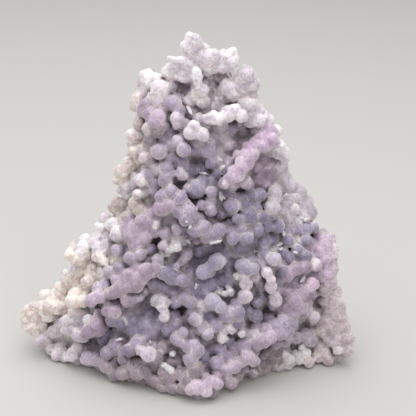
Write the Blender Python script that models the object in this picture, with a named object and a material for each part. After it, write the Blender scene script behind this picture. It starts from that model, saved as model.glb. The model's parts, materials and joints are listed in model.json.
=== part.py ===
"""A grape agate: one cluster of small chalcedony balls, grown together and standing on a sawn foot.

The stone is a tapering body wider than it is deep, with a wing at the lower left and a nose at the
lower front. Ridges of balls wander over it, with hollows between them. All lengths are millimetres
until the end, and Z is up. The front looks towards -Y.
"""

import math
import random

import bmesh
import bpy
from mathutils import Matrix, Vector, noise
from mathutils.bvhtree import BVHTree

CRUST = 4.5
THINNEST = 1.5
BALL_STEP = 1.55
BALL_SPREAD = (0.9, 1.1)
FOOT_CUT = 0.0
SAW_SIDE = 400.0
SEED = 11
MILLIMETRE = 0.001

VIEW_TILT = math.radians(24.0)
VIEW_DISTANCE = 430.0
VIEW_AIM = Vector((7.2, 0.0, 62.4))
VIEW_AIM_UP = 57.0

SEARCH = 60
BACK_FULLNESS = (2.0, 2.6)
RING_POINTS = 56
RING_STEP = 4.0
VOXEL = 1.0
TRIANGLES = 9400

# The outer form, one row for each height: where its left end, right end and nose stand across the
# front, how far its front and back bulge, how far back its two ends lie, and how full the left and
# right halves of the front are (1 is a straight slope, 2 an ellipse, under 1 is hollow).
FORM = (
    # height, left, right, nose, front, back, left end, right end, left fullness, right fullness
    (-8, -50, 50, 4, -30, 26, 3, -1, 1.4, 0.85),
    (0, -52, 53, 4, -30, 27, 4, -1, 1.4, 0.90),
    (8, -56, 55, 3, -29, 28, 6, 0, 1.4, 1.0),
    (17, -59, 56, 1, -27, 28, 8, 1, 1.4, 1.2),
    (24, -53, 54, 0, -24, 27, 6, 2, 1.5, 1.5),
    (34, -45, 53, 2, -21, 25, 5, 2, 1.6, 1.7),
    (44, -42, 51, 4, -19, 23, 4, 3, 1.6, 1.8),
    (54, -33, 44, 2, -17, 22, 5, 4, 1.7, 1.8),
    (63, -27, 38, 0, -15, 20, 6, 4, 1.8, 1.8),
    (73, -25, 34, 2, -12, 19, 6, 3, 1.9, 1.8),
    (82, -22, 30, 2, -10, 18, 7, 3, 2.0, 1.9),
    (92, -20, 26, 1, -8, 16, 7, 4, 2.0, 2.0),
    (102, -18, 22, 1, -4, 14, 6, 5, 2.0, 2.0),
    (110, -10, 18, 2, 0, 13, 6, 6, 2.0, 2.0),
    (118, -6, 12, 2, 2, 12, 6, 6, 2.0, 2.0),
    (124, -3, 6, 1, 3, 10, 6, 6, 2.0, 2.0),
)

# Ridges and knobs on the front, each a string of balls along a short path. A place is millimetres
# across and up, as it is seen from straight in front and 24 degrees above. Then come the balls'
# radius and how far their centres stand out of the core.
RIDGES = {
    "crown peak": ([(1, 117), (4, 113)], 3.9, 1.0),
    "crown neck": ([(-1, 109), (1, 104)], 4.2, 1.5),
    "crown right": ([(8, 110), (15, 111), (14, 105)], 4.0, 1.5),
    "right horn": ([(21, 104), (22, 97)], 4.2, 1.0),
    "left horn": ([(-14, 103), (-8, 105), (-3, 106)], 4.0, 0.5),
    "hanging tooth": ([(3, 104), (3, 99)], 2.6, 4.0),
    "left brow": ([(-10, 99), (-13, 93), (-11, 88)], 4.1, 2.5),
    "left temple": ([(-18, 95), (-18, 89)], 3.8, 0.0),
    "brow knobs": ([(-5, 94), (-4, 89)], 3.1, 2.5),
    "left cheek": ([(-20, 83), (-16, 79)], 3.8, 0.0),
    "upper arc": ([(1, 85), (5, 83), (9, 89), (17, 91), (25, 90)], 3.3, 3.0),
    "arc end": ([(28, 88), (30, 84)], 4.0, 0.5),
    "left collar": ([(-10, 77), (-3, 79)], 3.4, 3.0),
    "upper spur": ([(-14, 74), (-19, 73), (-24, 69)], 3.8, 1.0),
    "lower spur": ([(-15, 66), (-21, 65)], 3.6, 1.0),
    "left shelf": ([(-17, 58), (-24, 58)], 3.8, 1.0),
    "pink ridge": ([(31, 82), (27, 80), (22, 75), (18, 71), (14, 66)], 4.3, 4.5),
    "pink ridge head": ([(33, 78), (34, 75)], 3.6, 1.0),
    "right shoulder": ([(31, 71), (35, 66), (38, 61), (40, 57), (42, 52)], 4.3, 0.5),
    "right face": ([(30, 62), (29, 57), (36, 57)], 3.9, 2.0),
    "spine": ([(-10, 70), (-7, 65), (-6, 60), (-1, 55), (4, 50), (9, 48)], 3.9, 3.0),
    "spine branch": ([(-2, 68), (6, 63)], 3.4, 1.5),
    "left arm": ([(-9, 57), (-17, 53), (-24, 50), (-31, 49), (-36, 44), (-41, 40)], 4.0, 2.0),
    "arm heel": ([(-38, 36), (-30, 37), (-24, 42)], 3.7, 0.5),
    "elbow": ([(-18, 46), (-19, 40), (-21, 35)], 3.8, 2.0),
    "left ridge": ([(-12, 35), (-17, 31), (-24, 28), (-33, 25), (-41, 23), (-49, 21)], 4.1, 4.0),
    "wing root": ([(-41, 31), (-46, 26)], 3.8, 0.5),
    "wing tip": ([(-50, 21), (-56, 19), (-57, 14), (-54, 10), (-50, 7)], 4.1, 1.0),
    "second ridge": ([(-19, 23), (-26, 19), (-34, 15), (-40, 12)], 3.9, 3.5),
    "lower left knobs": ([(-46, 3), (-41, 3), (-35, 2)], 4.2, 3.5),
    "lower left sill": ([(-29, 0), (-22, -2), (-16, -2)], 4.2, 1.5),
    "lower left bank": ([(-27, 7), (-20, 9), (-14, 5)], 4.2, 2.5),
    "peanut": ([(7, 34), (11, 38)], 3.3, 3.0),
    "centre knobs": ([(21, 35), (20, 25)], 3.3, 2.5),
    "ball and tail": ([(31, 38), (28, 33), (30, 28), (32, 23)], 3.1, 2.5),
    "middle right": ([(22, 54), (16, 58), (20, 49), (14, 45)], 3.7, 2.0),
    "right bank": ([(38, 45), (42, 40), (40, 35)], 3.6, 1.5),
    "right margin": ([(49, 45), (49, 40), (50, 35), (50, 30), (53, 24), (54, 18)], 4.2, 1.0),
    "right heel": ([(56, 12), (57, 6)], 4.3, 1.0),
    "right slope": ([(42, 29), (37, 24), (44, 20)], 3.9, 2.0),
    "pink sill": ([(37, 19), (32, 14), (27, 10), (21, 5), (15, -1), (8, -7), (3, -9)], 4.2, 3.5),
    "nose": ([(1, 6), (1, 0), (-1, -5)], 4.1, 2.0),
    "nose left": ([(-5, -3), (-10, -5)], 3.9, 1.0),
    "nose right": ([(8, -8), (11, -5)], 3.6, 1.0),
    "nose ridge": ([(-10, 22), (-9, 18), (-2, 11)], 3.3, 3.0),
    "lower right sill": ([(25, 1), (34, 2), (42, 3), (50, 4)], 3.9, 1.5),
    "inner knobs": ([(3, 22), (3, 17), (6, 12)], 3.2, 2.0),
    "inner ledge": ([(9, 22), (16, 19), (23, 17)], 3.8, 2.0),
}

# Hollows between the ridges: place as above, radius, and how far the floor lies under the core.
HOLLOWS = (
    ((8, 97), 8.0, 4.5),
    ((18, 83), 9.0, 6.0),
    ((26, 69), 6.0, 4.5),
    ((2, 74), 6.0, 3.5),
    ((-11, 44), 6.0, 6.0),
    ((3, 40), 10.0, 6.5),
    ((14, 30), 10.0, 6.0),
    ((-3, 20), 6.0, 5.0),
    ((-14, 25), 8.0, 6.0),
    ((-28, 11), 8.0, 6.0),
    ((-8, 12), 7.0, 5.0),
    ((27, 20), 6.0, 5.5),
    ((45, 24), 5.5, 5.0),
    ((12, 10), 8.0, 5.0),
    ((33, 7), 7.0, 4.5),
    ((-31, 42), 6.0, 3.0),
    ((30, 48), 7.0, 3.0),
    ((-2, 90), 5.0, 2.5),
)

# The back and the sides roll gently, with no laid ridges.
ROLL_LENGTH = 21.0
ROLL_HEIGHT = 5.0

# Balls over what the ridges leave bare: least gap in front and behind, radius, how deep a ball's
# centre lies under the core or how far it stands out, and the share of its gap that a ridge keeps.
FRONT_GAP, BACK_GAP = 6.6, 7.2
FRONT_RADIUS = (3.1, 4.4)
BACK_RADIUS = (3.7, 5.2)
FILLER_SINK, FILLER_RISE = 0.5, 1.3
RIDGE_REACH = 1.25
FILLER_TRIES = 12000
FRONT_TURN = 0.2

VIEW_RIGHT = Vector((1.0, 0.0, 0.0))
VIEW_UP = Vector((0.0, math.sin(VIEW_TILT), math.cos(VIEW_TILT)))
VIEW_EYE = VIEW_AIM + VIEW_DISTANCE * Vector((0.0, -math.cos(VIEW_TILT), math.sin(VIEW_TILT)))


def form_at(height):
    """The row of FORM at any height, blended smoothly between its neighbours and less the crust."""
    rows = list(zip(FORM, FORM[1:]))
    low, high = next((pair for pair in rows if height <= pair[1][0]), rows[-1])
    share = (height - low[0]) / (high[0] - low[0])
    _, left, right, nose, front, back, left_end, right_end, left_full, right_full = (
        a + (b - a) * share for a, b in zip(low, high)
    )
    half_width = max((right - left) / 2 - CRUST, THINNEST)
    half_depth = max((back - front) / 2 - CRUST, THINNEST)
    centre = (left + right) / 2
    middle = (front + back) / 2
    inner_left, inner_right = centre - half_width, centre + half_width
    return {
        "left": inner_left,
        "right": inner_right,
        "nose": min(max(nose, inner_left + 1), inner_right - 1),
        "front": middle - half_depth,
        "back": middle + half_depth,
        "left end": left_end,
        "right end": right_end,
        "left full": left_full,
        "right full": right_full,
    }


def quarter(start, end, fullness, count):
    """Points of a rounded quarter from start to end, with its corner at (end across, start back)."""
    for i in range(count):
        angle = math.pi / 2 * i / count
        along = 1 - math.cos(angle) ** (2 / fullness)
        out = math.sin(angle) ** (2 / fullness)
        yield start[0] + (end[0] - start[0]) * along, start[1] + (end[1] - start[1]) * out


def ring(height):
    form = form_at(height)
    count = RING_POINTS // 4
    left = (form["left"], form["left end"])
    right = (form["right"], form["right end"])
    front = (form["nose"], form["front"])
    back = ((form["left"] + form["right"]) / 2, form["back"])
    outline = list(quarter(left, front, form["left full"], count))
    outline += reversed([*quarter(right, front, form["right full"], count), front])
    left_full, right_full = BACK_FULLNESS
    outline += [*quarter(right, back, right_full, count), back][1:]
    outline += reversed(list(quarter(left, back, left_full, count))[1:])
    return [Vector((x, y, height)) for x, y in outline]


def core_mesh():
    """The body under the balls, lofted through rings from below the foot to the crown."""
    heights = [FORM[0][0]]
    while heights[-1] + RING_STEP < FORM[-1][0]:
        heights.append(heights[-1] + RING_STEP)
    heights.append(FORM[-1][0])
    mesh = bmesh.new()
    rings = [[mesh.verts.new(point) for point in ring(height)] for height in heights]
    for below, above in zip(rings, rings[1:]):
        for i in range(len(below)):
            mesh.faces.new((below[i - 1], below[i], above[i], above[i - 1]))
    mesh.faces.new(rings[0][::-1])
    mesh.faces.new(rings[-1])
    bmesh.ops.recalc_face_normals(mesh, faces=mesh.faces)
    return mesh


def sight_line(place):
    """Unit vector from the viewing point through a place on the front."""
    across, up = place
    target = VIEW_AIM + VIEW_RIGHT * (across - VIEW_AIM.x) + VIEW_UP * (up - VIEW_AIM_UP)
    return (target - VIEW_EYE).normalized()


def on_core(tree, place):
    """Where the sight line meets the core, or passes nearest to it at the outline."""
    line = sight_line(place)
    point, *_ = tree.ray_cast(VIEW_EYE, line)
    if point is not None:
        return point, line
    reach = [VIEW_EYE + line * (VIEW_DISTANCE + step) for step in range(-SEARCH, SEARCH + 1)]
    return min(reach, key=lambda spot: tree.find_nearest(spot)[3]), line


def along(path, step):
    """Points at even steps along a path of straight runs, with both of its ends."""
    if len(path) == 1:
        return list(path)
    points = []
    for start, end in zip(path, path[1:]):
        length = math.dist(start, end)
        count = max(round(length / step), 1)
        for i in range(count):
            share = i / count
            points.append(tuple(a + (b - a) * share for a, b in zip(start, end)))
    return points + [path[-1]]


def roll(mesh):
    """Gives the back and the sides low swells and dips, fading out towards the front."""
    mesh.normal_update()
    for vert in mesh.verts:
        share = min(max(vert.normal.y + 0.35, 0.0), 1.0)
        swell = noise.noise(vert.co / ROLL_LENGTH) * ROLL_HEIGHT * share
        vert.co += vert.normal * swell


def dent(mesh, tree):
    """Pushes the core in under each hollow, with a smooth rim."""
    for place, radius, depth in HOLLOWS:
        centre, line = on_core(tree, place)
        for vert in mesh.verts:
            distance = (vert.co - centre).length / (radius * 1.3)
            if distance < 1:
                vert.co += line * depth * (math.cos(distance * math.pi) + 1) / 2


def ridge_balls(tree, chance):
    """Centre and radius of every ball laid on a ridge, with a stub down to the core where it hangs free."""
    balls = []
    for path, radius, proud in RIDGES.values():
        for place in along(path, radius * BALL_STEP):
            point, line = on_core(tree, place)
            size = radius * chance.uniform(*BALL_SPREAD)
            centre = point - line * proud
            balls.append((centre, size))
            root, _, _, gap = tree.find_nearest(centre)
            if gap > size * 0.5:
                balls.append((centre.lerp(root, 0.5), size * 0.95))
                balls.append((root, size))
    return balls


def filler_balls(mesh, ridges, chance):
    """Balls over the rest of the core, none where a ridge already is."""
    faces = [face for face in mesh.faces if face.calc_center_median().z > FOOT_CUT]
    areas = [face.calc_area() for face in faces]
    placed = [(centre, size * RIDGE_REACH) for centre, size in ridges]
    fillers = []
    for face in chance.choices(faces, areas, k=FILLER_TRIES):
        mix = [chance.random() for _ in face.verts]
        point = sum((vert.co * m for vert, m in zip(face.verts, mix)), Vector()) / sum(mix)
        front = face.normal.y < FRONT_TURN
        gap = FRONT_GAP if front else BACK_GAP
        if any((point - other).length < (gap + reach) / 2 for other, reach in placed):
            continue
        size = chance.uniform(*(FRONT_RADIUS if front else BACK_RADIUS))
        rise = chance.uniform(-FILLER_SINK, FILLER_RISE)
        fillers.append((point + face.normal * rise, size))
        placed.append((point, gap))
    return fillers


def clustered(name, core, balls):
    """One mesh holding the core and the balls, still overlapping."""
    mesh = core.copy()
    for centre, size in balls:
        made = bmesh.ops.create_icosphere(mesh, subdivisions=2, radius=size)
        bmesh.ops.translate(mesh, verts=made["verts"], vec=centre)
    data = bpy.data.meshes.new(name)
    mesh.to_mesh(data)
    mesh.free()
    return data


def applied(obj):
    """The object's mesh with its modifiers worked in."""
    graph = bpy.context.evaluated_depsgraph_get()
    data = bpy.data.meshes.new_from_object(obj.evaluated_get(graph))
    obj.modifiers.clear()
    obj.data = data
    return obj


def fused(obj):
    """Joins all balls to the core in one skin, then thins that skin to the wanted triangles."""
    remesh = obj.modifiers.new("fuse", "REMESH")
    remesh.mode = "VOXEL"
    remesh.voxel_size = VOXEL
    applied(obj)
    obj.data.calc_loop_triangles()
    thin = obj.modifiers.new("thin", "DECIMATE")
    thin.ratio = TRIANGLES / len(obj.data.loop_triangles)
    thin.use_collapse_triangulate = True
    return applied(obj)


def saw_foot(obj):
    """Cuts the cluster off flat where it was sawn from its bed."""
    block = bmesh.new()
    bmesh.ops.create_cube(block, size=SAW_SIDE)
    bmesh.ops.translate(block, verts=block.verts, vec=(0, 0, FOOT_CUT - SAW_SIDE / 2))
    data = bpy.data.meshes.new("saw")
    block.to_mesh(data)
    block.free()
    saw = bpy.data.objects.new("saw", data)
    bpy.context.scene.collection.objects.link(saw)
    cut = obj.modifiers.new("foot", "BOOLEAN")
    cut.operation = "DIFFERENCE"
    cut.solver = "EXACT"
    cut.object = saw
    applied(obj)
    bpy.data.objects.remove(saw)
    return obj


def stand_on_origin(obj):
    """Puts the middle of the foot's box at the origin, and turns millimetres into metres."""
    corners = [Vector(corner) for corner in obj.bound_box]
    middle = (corners[0] + corners[6]) / 2
    obj.data.transform(Matrix.Translation((-middle.x, -middle.y, 0)))
    obj.data.transform(Matrix.Scale(MILLIMETRE, 4))


def chalcedony():
    material = bpy.data.materials.new("purple chalcedony")
    material.use_nodes = True
    shader = material.node_tree.nodes["Principled BSDF"]
    shader.inputs["Base Color"].default_value = (0.50, 0.42, 0.58, 1.0)
    shader.inputs["Roughness"].default_value = 0.42
    shader.inputs["Metallic"].default_value = 0.0
    return material


def grape_agate():
    chance = random.Random(SEED)
    core = core_mesh()
    roll(core)
    dent(core, BVHTree.FromBMesh(core))
    core.normal_update()
    tree = BVHTree.FromBMesh(core)
    balls = ridge_balls(tree, chance)
    balls += filler_balls(core, balls, chance)
    obj = bpy.data.objects.new("grape_agate", clustered("grape_agate", core, balls))
    core.free()
    bpy.context.scene.collection.objects.link(obj)
    fused(obj)
    saw_foot(obj)
    stand_on_origin(obj)
    obj.data.materials.append(chalcedony())
    return obj


for old in list(bpy.data.objects):
    bpy.data.objects.remove(old)
grape_agate()
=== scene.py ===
"""The looks of a grape agate: purple chalcedony grown as hundreds of small balls, on a sawn foot.

Lengths are metres unless a comment says millimetres. The front faces -Y, and the stone stands on z = 0.
"""

import itertools
import json
import math
import random

import bmesh
import bpy
import numpy as np
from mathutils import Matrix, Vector, noise
from mathutils.bvhtree import BVHTree
from mathutils.kdtree import KDTree

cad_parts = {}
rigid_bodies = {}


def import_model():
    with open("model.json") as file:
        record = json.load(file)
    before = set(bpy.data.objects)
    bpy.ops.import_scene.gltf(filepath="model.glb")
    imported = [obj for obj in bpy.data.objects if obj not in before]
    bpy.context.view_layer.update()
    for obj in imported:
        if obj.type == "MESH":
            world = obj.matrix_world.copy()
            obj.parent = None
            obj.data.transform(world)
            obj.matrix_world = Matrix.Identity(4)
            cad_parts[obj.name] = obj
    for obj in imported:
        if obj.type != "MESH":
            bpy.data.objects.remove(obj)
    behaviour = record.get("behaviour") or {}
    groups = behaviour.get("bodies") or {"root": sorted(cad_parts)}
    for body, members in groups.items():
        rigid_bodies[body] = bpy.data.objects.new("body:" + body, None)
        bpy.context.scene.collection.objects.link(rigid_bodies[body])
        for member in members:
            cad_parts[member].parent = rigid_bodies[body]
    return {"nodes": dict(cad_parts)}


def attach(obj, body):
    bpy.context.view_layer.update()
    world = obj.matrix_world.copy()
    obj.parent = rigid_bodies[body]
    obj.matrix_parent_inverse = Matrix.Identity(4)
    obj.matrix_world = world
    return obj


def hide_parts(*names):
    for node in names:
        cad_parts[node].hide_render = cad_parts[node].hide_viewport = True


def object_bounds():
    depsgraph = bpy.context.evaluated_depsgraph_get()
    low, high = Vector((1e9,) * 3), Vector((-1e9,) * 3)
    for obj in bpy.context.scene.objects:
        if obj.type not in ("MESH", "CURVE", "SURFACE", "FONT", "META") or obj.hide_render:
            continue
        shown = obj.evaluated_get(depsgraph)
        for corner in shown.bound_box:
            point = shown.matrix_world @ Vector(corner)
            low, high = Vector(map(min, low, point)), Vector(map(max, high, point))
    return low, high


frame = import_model()
solid_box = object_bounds()

# The camera, in front of the stone and 24 degrees above it. It comes first, because the balls that
# the photograph shows are set on the stone along its sight lines, each by the pixel of its middle.
MM = 0.001
CAMERA_TILT = math.radians(24.0)
CAMERA_DISTANCE = 430 * MM
CAMERA_AIM = Vector((7.3, 0.9, 62.4)) * MM
CAMERA_SPAN = 150 * MM
SENSOR = 36.0  # millimetres
PHOTO_SIDE = 416
PIXEL = CAMERA_SPAN / PHOTO_SIDE
SEARCH_MM = 60
away = Vector((0.0, -math.cos(CAMERA_TILT), math.sin(CAMERA_TILT)))
upward = Vector((0.0, math.sin(CAMERA_TILT), math.cos(CAMERA_TILT)))
eye = CAMERA_AIM + away * CAMERA_DISTANCE


def link(name, data):
    obj = bpy.data.objects.new(name, data)
    bpy.context.scene.collection.objects.link(obj)
    return obj


def sight(px, py):
    """The direction from the camera through a pixel of the photograph."""
    across = Vector(((px - PHOTO_SIDE / 2) * PIXEL, 0.0, 0.0))
    target = CAMERA_AIM + across + upward * ((PHOTO_SIDE / 2 - py) * PIXEL)
    return (target - eye).normalized()


def met(tree, line):
    """Where a sight line meets the stone, or where it passes nearest to it beyond the outline."""
    point = tree.ray_cast(eye, line)[0]
    if point is not None:
        return point
    reach = [eye + line * (CAMERA_DISTANCE + step * MM) for step in range(-SEARCH_MM, SEARCH_MM + 1)]
    return min(reach, key=lambda spot: tree.find_nearest(spot)[3])


lens = bpy.data.cameras.new("camera")
lens.sensor_width = SENSOR
lens.lens = SENSOR * CAMERA_DISTANCE / CAMERA_SPAN
camera = link("camera", lens)
camera.location = eye
camera.rotation_mode = "QUATERNION"
camera.rotation_quaternion = (-away).to_track_quat("-Z", "Y")
bpy.context.scene.camera = camera

# The body of the cluster: the mass of chalcedony that the outermost balls sit on. It is the packed
# solid drawn in by half a ball, pushed deeper under the dark holes, and it runs down to the saw cut.
STONE = "grape_agate"
BODY_GRID = 1.0 * MM
BODY_SHRINK = 2.3 * MM
FOOT_BAND = 3.4 * MM
FOOT_DROP = 5.0 * MM
SAME_POINT = 0.001 * MM
SOFTENING = 2
ROUNDNESS = 3
HOLE_RIM = 1.6
HOLE_REACH = 2.0
HOLES = (
    # pixel across, pixel down, radius and depth in millimetres
    (157, 243, 2.4, 5.0), (182, 310, 2.0, 5.0), (223, 241, 2.2, 5.0), (231, 250, 2.2, 5.0),
    (254, 251, 1.8, 4.5), (266, 309, 2.2, 5.0), (250, 323, 2.2, 4.5), (302, 324, 2.8, 4.5),
    (141, 306, 2.6, 5.0), (95, 343, 2.4, 4.5), (125, 335, 2.2, 4.5), (194, 161, 1.8, 4.0),
    (179, 185, 2.2, 4.5), (238, 142, 1.5, 2.4), (317, 304, 2.2, 4.5), (194, 198, 1.8, 3.5),
    (173, 217, 1.6, 4.0), (167, 223, 2.6, 3.0), (154, 265, 1.5, 4.0), (206, 194, 1.4, 3.5),
    (255, 180, 1.6, 3.0), (206, 339, 2.4, 3.5), (163, 262, 1.8, 3.5),
)
# Stone is put back where the drawn-in body would be too thin: pixel, radius and depth under the skin.
THICK_PLACES = ((210, 92, 4.0, 4.6), (222, 92, 4.0, 4.4), (198, 94, 4.0, 4.6), (212, 80, 3.6, 4.2))


def baked(obj):
    """The object with its modifiers worked into its mesh."""
    graph = bpy.context.evaluated_depsgraph_get()
    data = bpy.data.meshes.new_from_object(obj.evaluated_get(graph))
    obj.modifiers.clear()
    old, obj.data = obj.data, data
    bpy.data.meshes.remove(old)
    return obj


def fuse(obj, grid):
    """One closed skin over everything in the object."""
    remesh = obj.modifiers.new("fuse", "REMESH")
    remesh.mode = "VOXEL"
    remesh.voxel_size = grid
    return baked(obj)


def tree_of(obj):
    mesh = bmesh.new()
    mesh.from_mesh(obj.data)
    tree = BVHTree.FromBMesh(mesh)
    mesh.free()
    return tree


def copy_of_solid():
    mesh = bmesh.new()
    mesh.from_mesh(frame["nodes"][STONE].data)
    bmesh.ops.remove_doubles(mesh, verts=mesh.verts, dist=SAME_POINT)
    data = bpy.data.meshes.new("body")
    mesh.to_mesh(data)
    mesh.free()
    return link("body", data)


def drawn_in(solid, tree):
    body = fuse(solid, BODY_GRID)
    soften = body.modifiers.new("soften", "SMOOTH")
    soften.iterations = SOFTENING
    draw_in = body.modifiers.new("draw in", "DISPLACE")
    draw_in.strength = -BODY_SHRINK
    draw_in.mid_level = 0.0
    baked(body)
    mesh = bmesh.new()
    mesh.from_mesh(body.data)
    for px, py, radius, under in THICK_PLACES:
        line = sight(px, py)
        made = bmesh.ops.create_icosphere(mesh, subdivisions=ROUNDNESS, radius=radius * MM)
        bmesh.ops.translate(mesh, verts=made["verts"], vec=met(tree, line) + line * (under * MM))
    mesh.to_mesh(body.data)
    mesh.free()
    fuse(body, BODY_GRID)
    for px, py, radius, depth in HOLES:
        line = sight(px, py)
        middle = met(tree, line)
        for vert in body.data.vertices:
            apart = (vert.co - middle).cross(line).length / (radius * HOLE_RIM * MM)
            if apart < 1 and (vert.co - middle).dot(line) < HOLE_REACH * depth * MM:
                vert.co += line * (depth * MM * (math.cos(apart * math.pi) + 1) / 2)
    for vert in body.data.vertices:
        if vert.co.z < FOOT_BAND:
            vert.co.z -= FOOT_DROP
    return fuse(body, BODY_GRID)


solid = copy_of_solid()
solid_tree = tree_of(solid)
body = drawn_in(solid, solid_tree)

# The balls that make up the ridges, knobs and bunches of the front, and ridges that wander over the
# back. Each string is a run of chalcedony balls grown into one another, coloured by where it grew.
KINDS = {
    # name: pinkness, paleness, blueness, warmth
    "white": (0.15, 1.0, 0.0, 0.0),
    "pearl": (0.28, 0.84, 0.20, 0.0),
    "cream": (0.05, 0.96, 0.0, 0.8),
    "linen": (0.20, 0.74, 0.0, 0.5),
    "sand": (0.0, 0.60, 0.0, 0.9),
    "pale": (0.25, 0.62, 0.15, 0.0),
    "mist": (0.20, 0.50, 0.90, 0.0),
    "petal": (0.50, 0.70, 0.0, 0.1),
    "rose": (0.75, 0.50, 0.0, 0.0),
    "blush": (0.55, 0.55, 0.0, 0.5),
    "pink": (1.0, 0.15, 0.0, 0.0),
    "mauve": (0.75, 0.20, 0.15, 0.0),
    "heather": (0.60, 0.08, 0.10, 0.2),
    "lilac": (0.45, 0.19, 0.45, 0.0),
    "ash": (0.25, 0.30, 0.40, 0.1),
    "grey": (0.12, 0.08, 0.45, 0.0),
    "blue": (0.20, 0.28, 0.95, 0.0),
    "stone": (0.25, 0.12, 0.0, 0.6),
    "umber": (0.15, 0.05, 0.0, 1.0),
    "dusk": (0.35, 0.06, 0.35, 0.0),
}
STAND_OUT = 0.4  # millimetres
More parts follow.
